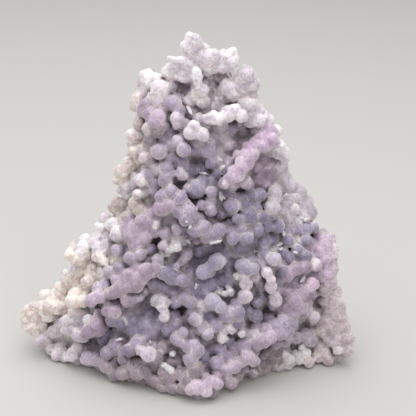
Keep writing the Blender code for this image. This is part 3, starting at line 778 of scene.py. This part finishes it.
def held_in(data):
    """Moves balls that would stand out past the sides or top of the solid back into line."""
    balls = places(data).reshape(-1, BALL_POINTS, 3)
    low, high = np.array(solid_box[0]), np.array(solid_box[1])
    low[2] = -math.inf
    balls += np.maximum(low - SLACK - balls.min(axis=1), 0.0)[:, None]
    balls -= np.maximum(balls.max(axis=1) - high - SLACK, 0.0)[:, None]
    data.vertices.foreach_set("co", balls.ravel())
    data.update()


held_in(laid.data)
scattering = scatter_tree()
growing = joined("cluster", [body, laid])
fuse(growing, GROWTH_GRID)
scattered = []
for name, gap, smallest, largest, rise, patchiness, seed in GENERATIONS:
    ground = body if name == "first" else growing
    made = link(name + " balls", ground.data.copy())
    keep(made.data, "room", free_room(made.data, CLEARANCE[name]))
    with_inputs(
        made, scattering, Gap=gap * MM, Smallest=smallest * MM, Largest=largest * MM, Rise=rise,
        Patchiness=patchiness, Seed=seed, Roundness=ROUNDNESS,
    )
    scattered.append(baked(made))
    held_in(made.data)
    if name != GENERATIONS[-1][0]:
        growing = fuse(joined("cluster", [growing, made]), GROWTH_GRID)

# The skin of the whole cluster: every ball grown into the body, one closed surface of chalcedony, cut
# off flat underneath by the saw.
SKIN_GRID = 0.38 * MM
TRIANGLES = 193000
SAW_SIDE = 400 * MM


def saw_foot(obj):
    block = bmesh.new()
    bmesh.ops.create_cube(block, size=SAW_SIDE)
    bmesh.ops.translate(block, verts=block.verts, vec=(0, 0, -SAW_SIDE / 2))
    data = bpy.data.meshes.new("saw")
    block.to_mesh(data)
    block.free()
    saw = link("saw", data)
    cut = obj.modifiers.new("foot", "BOOLEAN")
    cut.operation = "DIFFERENCE"
    cut.solver = "MANIFOLD"
    cut.object = saw
    baked(obj)
    bpy.data.objects.remove(saw)


def largest_body(obj):
    """Drops loose crumbs and sealed bubbles, so that one closed surface is left."""
    mesh = bmesh.new()
    mesh.from_mesh(obj.data)
    mesh.verts.ensure_lookup_table()
    group = [-1] * len(mesh.verts)
    sizes = []
    for start in mesh.verts:
        if group[start.index] >= 0:
            continue
        label = len(sizes)
        group[start.index] = label
        queue = [start]
        count = 0
        while queue:
            vert = queue.pop()
            count += 1
            for edge in vert.link_edges:
                other = edge.other_vert(vert)
                if group[other.index] < 0:
                    group[other.index] = label
                    queue.append(other)
        sizes.append(count)
    biggest = sizes.index(max(sizes))
    loose = [vert for vert in mesh.verts if group[vert.index] != biggest]
    bmesh.ops.delete(mesh, geom=loose, context="VERTS")
    mesh.to_mesh(obj.data)
    mesh.free()


def triangles(obj):
    obj.data.calc_loop_triangles()
    return len(obj.data.loop_triangles)


stone = fuse(joined("agate", [body, laid, *scattered]), SKIN_GRID)
largest_body(stone)
thin = stone.modifiers.new("thin", "DECIMATE")
thin.ratio = TRIANGLES / triangles(stone)
thin.use_collapse_triangulate = True
baked(stone)
saw_foot(stone)

# The colour of each ball goes to the skin over it: strings keep their own kind, and the balls
# between them take after the strings around, or after slow drifts of growth at the back.
KIND_REACH = 5.0 * MM
DRIFT = 28 * MM
DRIFT_LAYER = 40.0
DRIFT_WEIGHT = 0.03
DRIFTS = (
    # middle and swing of pinkness, paleness, blueness and warmth
    (0.46, 0.9), (0.10, 0.9), (0.38, 0.8), (0.15, 0.6),
)
TONE_SEED = 17
NEIGHBOURS = 8
NO_AXIS = 0.5
NO_RIM = 0.6
SAME_BALL = 3.0 * MM
SEAM_REACH = 2.0  # millimetres


def drift(place, layer):
    return noise.noise(Vector(place) / DRIFT + Vector((0, 0, DRIFT_LAYER * layer)))


centres, radii, kinds, axes = [string_centres], [string_radii], [string_kinds], [string_axes]
for made in scattered:
    balls = places(made.data).reshape(-1, BALL_POINTS, 3)
    middle = balls.mean(axis=1)
    centres.append(middle)
    radii.append(np.linalg.norm(balls[:, 0] - middle, axis=1))
    apart = np.linalg.norm(middle[:, None] - string_centres[None], axis=2)
    weight = np.exp(-((apart / KIND_REACH) ** 2))
    wild = np.array([
        [usual + swing * drift(place, layer) for layer, (usual, swing) in enumerate(DRIFTS, start=1)]
        for place in middle
    ])
    total = weight.sum(axis=1, keepdims=True) + DRIFT_WEIGHT
    kinds.append((weight @ string_kinds + DRIFT_WEIGHT * wild) / total)
    axes.append([body_tree.find_nearest(place)[1] for place in middle])
centres, radii = np.concatenate(centres), np.concatenate(radii)
kinds, axes = np.concatenate(kinds), np.concatenate(axes)
tones = np.random.default_rng(TONE_SEED).uniform(0.0, 1.0, len(centres))

finder = KDTree(len(centres))
for i, centre in enumerate(centres):
    finder.insert(centre, i)
finder.balance()
owner = np.empty(len(stone.data.vertices), dtype=int)
seam = np.full(len(stone.data.vertices), SEAM_REACH)
families += [0] * (len(centres) - len(families))
middles = [Vector(centre) for centre in centres]
for vert in stone.data.vertices:
    hits = sorted((apart - radii[i], i) for _, i, apart in finder.find_n(vert.co, NEIGHBOURS))
    nearest, own = hits[0]
    owner[vert.index] = own
    for distance, other in hits[1:]:
        related = families[own] > 0 and families[other] == families[own]
        if not related and (middles[other] - middles[own]).length > SAME_BALL:
            seam[vert.index] = (distance - nearest) / MM
            break
kinds = np.clip(kinds, 0.0, 1.0)
# How far each point turns from its ball's axis; the material lays a darker painted centre and a pale
# rim, partly frost and partly painted highlight, by it.
turned = ((places(stone.data) - centres[owner]) * axes[owner]).sum(axis=1) / radii[owner]
turned[(axes[owner] ** 2).sum(axis=1) < NO_AXIS] = NO_RIM
for place, name in enumerate(("pink", "pale", "blue", "warm")):
    keep(stone.data, name, kinds[owner, place])
keep(stone.data, "tone", tones[owner])
keep(stone.data, "turned", turned)
keep(stone.data, "seam", np.minimum(seam, SEAM_REACH))

# The sugary grain: tiny quartz crystals all over the chalcedony, coarser on the pale balls, and a
# little unevenness in the balls themselves. The sawn foot stays flat.
SUGAR_GRAIN = 1.2 * MM
SUGAR_HEIGHT = 0.15 * MM
PALE_SUGAR = 0.60 * MM
PALE_FROM = 0.45
KNOB_GRAIN = 2.6 * MM
KNOB_HEIGHT = 0.50 * MM
CUT_EDGE = 0.3 * MM
fine = np.array([noise.noise(vert.co / SUGAR_GRAIN) for vert in stone.data.vertices])
coarse = np.array([noise.noise(vert.co / KNOB_GRAIN) for vert in stone.data.vertices])
height = SUGAR_HEIGHT + PALE_SUGAR * np.maximum(kinds[owner, 1] - PALE_FROM, 0.0)
spots = places(stone.data)
outward = np.empty(len(spots) * 3)
stone.data.vertex_normals.foreach_get("vector", outward)
above_cut = spots[:, 2] > CUT_EDGE
spots += outward.reshape(-1, 3) * ((height * fine + KNOB_HEIGHT * coarse) * above_cut)[:, None]
stone.data.vertices.foreach_set("co", spots.ravel())
stone.data.update()

# Creases and holes are darkened by painted shade, with brown dust and iron stain in it. How open each
# point of the skin is, close by and further off, says how much: 1 is a free ball's top, 0 the bottom of
# a hole.
WAYS = 16
CREASE_REACH = 1.3 * MM
HOLLOW_REACH = 9.0 * MM
START_OFF = 0.08 * MM
PARTLY_OPEN = 0.6


def spread_ways(count):
    """Directions spread evenly over a sphere."""
    ways = []
    for i in range(count):
        height = 1 - (2 * i + 1) / count
        angle = i * math.pi * (3 - math.sqrt(5))
        across = math.sqrt(1 - height * height)
        ways.append(Vector((across * math.cos(angle), across * math.sin(angle), height)))
    return ways


def openness(obj):
    tree = tree_of(obj)
    ways = spread_ways(WAYS)
    crease, hollow = [], []
    for vert in obj.data.vertices:
        start = vert.co + vert.normal * START_OFF
        total = near = far = 0.0
        for way in ways:
            facing = way.dot(vert.normal)
            total += abs(facing)
            distance = tree.ray_cast(start, way if facing > 0 else -way, HOLLOW_REACH)[3]
            if distance is None:
                far += abs(facing)
                near += abs(facing)
            else:
                far += abs(facing) * PARTLY_OPEN * distance / HOLLOW_REACH
                if distance > CREASE_REACH:
                    near += abs(facing)
        crease.append(near / total)
        hollow.append(far / total)
    return np.array(crease), np.array(hollow)


def eased(obj, values, rounds):
    """Values blurred along the edges of the mesh."""
    ends = np.empty(len(obj.data.edges) * 2, dtype=int)
    obj.data.edges.foreach_get("vertices", ends)
    ends = ends.reshape(-1, 2)
    count = np.bincount(ends.ravel(), minlength=len(values)).astype(float)
    for _ in range(rounds):
        gathered = np.bincount(ends[:, 0], weights=values[ends[:, 1]], minlength=len(values))
        gathered += np.bincount(ends[:, 1], weights=values[ends[:, 0]], minlength=len(values))
        values = 0.5 * values + 0.5 * gathered / np.maximum(count, 1)
    return values


# Openness is ambient occlusion; the material turns it into painted shade, with brown stain, in the
# colour.
crease, hollow = openness(stone)
keep(stone.data, "crease", eased(stone, crease, 1))
keep(stone.data, "hollow", eased(stone, hollow, 2))
stone.data.shade_smooth()

# The finish: translucent chalcedony under a frosting of tiny crystals, lilac, pink, grey-blue or cream
# by zone, with pale rims that are partly frost and partly painted highlight, darker painted centres on
# the balls, and painted shade with brown stain in it darkening the creases and holes.
GREY = (0.27, 0.235, 0.285)
BLUE = (0.34, 0.325, 0.47)
PINK = (0.60, 0.45, 0.57)
PALE = (0.88, 0.84, 0.83)
WARM = (0.98, 0.93, 0.80)
# Painted light on the balls: a darker painted centre, and a pale rim that is partly frost and partly
# painted highlight.
CORE_SHADE = (0.80, 0.77, 0.84)
FROST_AND_RIM_LIGHT = (0.84, 0.78, 0.79)
# Painted shade with brown stain in it for hollows and creases, and a near-black painted shadow at the
# bottoms of holes.
HOLLOW_SHADE_AND_STAIN = (0.48, 0.43, 0.50)
SEAM_SHADE_AND_STAIN = (0.62, 0.52, 0.50)
CREASE_SHADE_AND_STAIN = (0.36, 0.25, 0.24)
HOLE_SHADOW_AND_STAIN = (0.040, 0.026, 0.028)
SHEEN_TINT = (1.0, 0.96, 0.94, 1.0)
# Each span is the level where a colour starts and ends, then its share at both.
TONE_SPAN = (0.0, 1.0, 0.82, 1.15)
SPECKLE_SPAN = (0.2, 0.8, 0.86, 1.14)
CORE_SHADE_SPAN = (0.50, 0.95, 0.0, 1.0)
RIM_LIGHT_SPAN = (0.45, 0.18, 0.0, 0.7)
SEAM_RIM_LIGHT_SPAN = (0.9, 0.5, 0.0, 0.22)
SEAM_SPAN = (0.40, 0.0, 0.0, 1.0)
STAIN_AND_SHADE_SPAN = (0.25, 0.85, 1.0, 0.28)
HOLLOW_SPAN = (0.80, 0.35, 0.0, 0.8)
CREASE_SPAN = (0.62, 0.25, 0.0, 0.9)
HOLE_SPAN = (0.38, 0.12, 0.0, 0.95)
GLOW_SPAN = (0.2, 0.9, 0.35, 1.0)
GLOW_DEPTH_SPAN = (0.2, 0.9, 2.0 * MM, 4.0 * MM)
GLOW_COLOURS = (1.0, 0.85, 0.95)
CRYSTAL_GRAIN = 1500.0
CRYSTAL_HEIGHT = 0.25 * MM
CRYSTAL_STRENGTH = 0.8
WAX_ROUGHNESS = 0.36
SHEEN_ROUGHNESS = 0.3


def chalcedony():
    material = bpy.data.materials.new("purple chalcedony")
    material.use_nodes = True
    node, wire = material.node_tree.nodes.new, material.node_tree.links.new
    shader = material.node_tree.nodes["Principled BSDF"]

    def level(name):
        read = node("ShaderNodeAttribute")
        read.attribute_name = name
        return read.outputs["Fac"]

    def blend(mode, amount, first, second):
        mix = node("ShaderNodeMix")
        mix.data_type = "RGBA"
        mix.blend_type = mode
        for socket, value in ((0, amount), (6, first), (7, second)):
            if isinstance(value, bpy.types.NodeSocket):
                wire(value, mix.inputs[socket])
            elif isinstance(value, tuple):
                mix.inputs[socket].default_value = (*value, 1.0)
            else:
                mix.inputs[socket].default_value = value
        return mix.outputs[2]

    def share(value, span):
        spread = node("ShaderNodeMapRange")
        for socket, number in zip(("From Min", "From Max", "To Min", "To Max"), span):
            spread.inputs[socket].default_value = number
        wire(value, spread.inputs["Value"])
        return spread.outputs["Result"]

    def times(first, second):
        product = node("ShaderNodeMath")
        product.operation = "MULTIPLY"
        wire(first, product.inputs[0])
        wire(second, product.inputs[1])
        return product.outputs["Value"]

    colour = blend("MIX", level("blue"), GREY, BLUE)
    colour = blend("MIX", level("pink"), colour, PINK)
    colour = blend("MIX", level("pale"), colour, PALE)
    colour = blend("MULTIPLY", level("warm"), colour, WARM)
    where = node("ShaderNodeTexCoord")
    sugar = node("ShaderNodeTexVoronoi")
    sugar.inputs["Scale"].default_value = CRYSTAL_GRAIN
    wire(where.outputs["Object"], sugar.inputs["Vector"])
    brightness = node("ShaderNodeHueSaturation")
    speckle = share(sugar.outputs["Color"], SPECKLE_SPAN)
    wire(times(share(level("tone"), TONE_SPAN), speckle), brightness.inputs["Value"])
    wire(colour, brightness.inputs["Color"])
    colour = brightness.outputs["Color"]
    # Painted light on each ball: a darker painted centre about its axis, and a pale rim, partly frost
    # and partly painted highlight, also beside the seams.
    colour = blend("MULTIPLY", share(level("turned"), CORE_SHADE_SPAN), colour, CORE_SHADE)
    colour = blend("MIX", share(level("turned"), RIM_LIGHT_SPAN), colour, FROST_AND_RIM_LIGHT)
    colour = blend("MIX", share(level("seam"), SEAM_RIM_LIGHT_SPAN), colour, FROST_AND_RIM_LIGHT)
    # Painted shade, with brown dust and iron stain in it, darkens hollows and creases and paints hole
    # bottoms near black; pale balls get less.
    stain_and_shade_share = share(level("pale"), STAIN_AND_SHADE_SPAN)
    # Painted shade, with some brown stain, along the creases where two balls meet.
    colour = blend("MULTIPLY", times(share(level("seam"), SEAM_SPAN), stain_and_shade_share), colour, SEAM_SHADE_AND_STAIN)
    colour = blend("MULTIPLY", times(share(level("hollow"), HOLLOW_SPAN), stain_and_shade_share), colour, HOLLOW_SHADE_AND_STAIN)
    colour = blend("MULTIPLY", times(share(level("crease"), CREASE_SPAN), stain_and_shade_share), colour, CREASE_SHADE_AND_STAIN)
    colour = blend("MIX", share(level("hollow"), HOLE_SPAN), colour, HOLE_SHADOW_AND_STAIN)
    wire(colour, shader.inputs["Base Color"])
    shader.inputs["Roughness"].default_value = WAX_ROUGHNESS
    wire(share(level("pale"), GLOW_SPAN), shader.inputs["Subsurface Weight"])
    shader.inputs["Subsurface Radius"].default_value = GLOW_COLOURS
    wire(share(level("pale"), GLOW_DEPTH_SPAN), shader.inputs["Subsurface Scale"])
    shader.inputs["Sheen Weight"].default_value = 1.0
    shader.inputs["Sheen Roughness"].default_value = SHEEN_ROUGHNESS
    shader.inputs["Sheen Tint"].default_value = SHEEN_TINT
    raised = node("ShaderNodeBump")
    raised.inputs["Strength"].default_value = CRYSTAL_STRENGTH
    raised.inputs["Distance"].default_value = CRYSTAL_HEIGHT
    raised.invert = True
    wire(sugar.outputs["Distance"], raised.inputs["Height"])
    wire(raised.outputs["Normal"], shader.inputs["Normal"])
    return material


stone.data.materials.clear()
stone.data.materials.append(chalcedony())
for helper in [obj for obj in bpy.data.objects if obj.name.split(".")[0] in (
        "body", "laid balls", "cluster", "first balls", "second balls", "third balls")]:
    bpy.data.objects.remove(helper)
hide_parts(STONE)
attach(stone, "root")

# Small crystals of milky quartz that grew last, singly and in little sheaves on the balls: six-sided
# prisms with pointed tips, pale and partly see-through, rooted in the chalcedony.
SHEAVES = (
    # pixel across, pixel down, crystals, thickness and length (mm), lean across and up, spread
    (188, 107, 2, 1.3, 3.4, 0.9, -0.9, 0.15), (218, 158, 1, 1.5, 3.4, 0.9, -1.0, 0.1),
    (222, 168, 3, 1.5, 2.0, 0.3, 0.4, 0.5), (202, 173, 3, 1.3, 3.2, 1.6, -0.1, 0.25),
    (221, 193, 4, 1.7, 3.6, 0.1, -0.8, 0.4), (281, 244, 4, 1.3, 2.2, 0.1, 0.1, 0.7),
    (281, 249, 3, 1.0, 2.0, 0.1, -0.5, 0.5), (284, 233, 4, 1.2, 2.0, 0.0, 0.1, 0.8),
    (303, 280, 6, 1.3, 2.4, 0.0, 0.2, 0.8), (304, 220, 4, 1.0, 2.0, 0.0, 0.2, 0.8),
    (187, 222, 1, 1.5, 1.8, 0.1, 0.2, 0.3), (190, 228, 2, 1.2, 1.7, 0.1, 0.2, 0.4),
    (117, 340, 4, 1.2, 3.2, 1.2, 0.1, 0.35), (219, 289, 3, 1.0, 3.4, -0.5, 1.0, 0.3),
    (205, 125, 3, 1.0, 2.4, 0.6, -0.3, 0.6), (222, 100, 4, 1.1, 2.4, 0.1, 0.6, 0.6),
    (196, 287, 3, 0.9, 1.8, 0.2, 0.4, 0.5), (186, 240, 5, 0.8, 3.0, 0.8, -0.6, 0.4),
    (212, 243, 2, 1.0, 4.0, 1.0, 0.8, 0.15), (173, 250, 5, 0.9, 2.8, 1.0, 0.3, 0.4),
    (165, 256, 4, 0.9, 2.6, 0.7, 0.7, 0.4), (296, 252, 4, 0.9, 1.8, 0.1, 0.2, 0.9),
    (245, 358, 2, 1.1, 1.6, 0.1, 0.4, 0.5), (255, 251, 4, 0.8, 2.2, 0.5, -0.6, 0.5),
    (325, 297, 2, 0.8, 1.6, 0.1, 0.4, 0.5), (176, 270, 3, 0.8, 2.0, -0.4, 0.5, 0.5),
    (66, 330, 3, 0.9, 2.4, 0.2, 0.6, 0.5), (150, 343, 3, 0.8, 1.8, 0.3, 0.4, 0.6),
)
SIDES = 6
SHOULDER = 0.62
FLATNESS = 0.42
TIP_SHIFT = 0.15
ROOT = 0.7 * MM
SHEAF_SEED = 9
SIZE_SPREAD = (0.75, 1.15)
OUTWARD_SHARE = 0.5
EYE_SHARE = 0.6
QUARTZ_GRAIN = 900.0
CLOUDY = (0.80, 0.79, 0.82, 1.0)
CLEAR = (0.95, 0.94, 0.93, 1.0)
CLOUD_EDGES = (0.35, 0.6)
QUARTZ_ROUGHNESS = 0.14
QUARTZ_INDEX = 1.54
QUARTZ_CLEARNESS = 0.1


def add_crystal(mesh, foot, way, thick, length, chance):
    """One six-sided crystal, closed at its root, with a point that is a little off its middle."""
    turn = way.to_track_quat("Z", "Y").to_matrix()
    start = chance.uniform(0, math.tau)
    around = []
    for level in (0.0, SHOULDER):
        ring = []
        for side in range(SIDES):
            angle = start + math.tau * side / SIDES
            wide = math.cos(angle) * thick / 2
            deep = math.sin(angle) * thick * FLATNESS
            ring.append(mesh.verts.new(foot + turn @ Vector((wide, deep, level * length))))
        around.append(ring)
    shift_x, shift_y = (chance.uniform(-TIP_SHIFT, TIP_SHIFT) * thick for _ in range(2))
    off = Vector((shift_x, shift_y, length))
    point = mesh.verts.new(foot + turn @ off)
    low, high = around
    mesh.faces.new(low[::-1])
    for side in range(SIDES):
        after = (side + 1) % SIDES
        mesh.faces.new((low[side], low[after], high[after], high[side]))
        mesh.faces.new((high[side], high[after], point))


def quartz_sheaves():
    chance = random.Random(SHEAF_SEED)
    mesh = bmesh.new()
    skin_tree = tree_of(stone)
    for px, py, count, thick, length, lean_across, lean_up, spread in SHEAVES:
        line = sight(px, py)
        spot, normal = skin_tree.ray_cast(eye, line)[:2]
        if spot is None:
            continue
        aside = Vector((lean_across, 0, 0)) + upward * lean_up
        lean = (normal * OUTWARD_SHARE - line * EYE_SHARE + aside).normalized()
        for _ in range(count):
            way = (lean + spread * Vector([chance.uniform(-1, 1) for _ in range(3)])).normalized()
            size = chance.uniform(*SIZE_SPREAD)
            foot = spot - way * ROOT
            add_crystal(mesh, foot, way, thick * size * MM, length * size * MM + ROOT, chance)
    data = bpy.data.meshes.new("quartz_crystals")
    mesh.to_mesh(data)
    mesh.free()
    return link("quartz_crystals", data)


def milky_quartz():
    material = bpy.data.materials.new("milky quartz")
    material.use_nodes = True
    node, wire = material.node_tree.nodes.new, material.node_tree.links.new
    shader = material.node_tree.nodes["Principled BSDF"]
    where = node("ShaderNodeTexCoord")
    cloud = node("ShaderNodeTexNoise")
    cloud.inputs["Scale"].default_value = QUARTZ_GRAIN
    wire(where.outputs["Object"], cloud.inputs["Vector"])
    shades = node("ShaderNodeValToRGB")
    for stop, position, colour in zip(shades.color_ramp.elements, CLOUD_EDGES, (CLOUDY, CLEAR)):
        stop.position = position
        stop.color = colour
    wire(cloud.outputs["Fac"], shades.inputs["Fac"])
    wire(shades.outputs["Color"], shader.inputs["Base Color"])
    shader.inputs["Roughness"].default_value = QUARTZ_ROUGHNESS
    shader.inputs["IOR"].default_value = QUARTZ_INDEX
    shader.inputs["Transmission Weight"].default_value = QUARTZ_CLEARNESS
    return material


quartz = quartz_sheaves()
quartz.data.materials.append(milky_quartz())
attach(quartz, "root")

# A plain pale floor to stand the stone on. It lies a hair below the sawn foot, so that the two flat
# faces never share one plane.
FLOOR_SIDE = 6.0
FLOOR_BELOW = 0.2 * MM
FLOOR_COLOUR = (0.52, 0.51, 0.49, 1)
FLOOR_ROUGHNESS = 0.9
floor_mesh = bmesh.new()
bmesh.ops.create_grid(floor_mesh, size=FLOOR_SIDE / 2)
floor_data = bpy.data.meshes.new("floor")
floor_mesh.to_mesh(floor_data)
floor_mesh.free()
floor = link("floor", floor_data)
floor.location.z = -FLOOR_BELOW
pale = bpy.data.materials.new("pale floor")
pale.use_nodes = True
pale_shader = pale.node_tree.nodes["Principled BSDF"]
pale_shader.inputs["Base Color"].default_value = FLOOR_COLOUR
pale_shader.inputs["Roughness"].default_value = FLOOR_ROUGHNESS
floor_data.materials.append(pale)

# Soft studio light: a broad round panel overhead, a smaller and weaker one in front at the right,
# and pale air all round.
AIR_COLOUR = (0.97, 0.97, 1.0, 1)
AIR_STRENGTH = 0.40
PANELS = (
    # name, place, size across and power
    ("overhead", (-0.08, 0.0, 0.8), 1.3, 9.5),
    ("front fill", (0.25, -0.75, 0.65), 0.9, 2.8),
)


def panel(name, place, size, power):
    lamp = bpy.data.lights.new(name, "AREA")
    lamp.shape = "DISK"
    lamp.size = size
    lamp.energy = power
    obj = link(name, lamp)
    obj.location = place
    obj.rotation_mode = "QUATERNION"
    obj.rotation_quaternion = (CAMERA_AIM - Vector(place)).to_track_quat("-Z", "Y")


for values in PANELS:
    panel(*values)
bpy.context.scene.view_settings.view_transform = "Standard"
air = bpy.data.worlds.new("air")
bpy.context.scene.world = air
air.use_nodes = True
glow = air.node_tree.nodes["Background"]
glow.inputs["Color"].default_value = AIR_COLOUR
glow.inputs["Strength"].default_value = AIR_STRENGTH
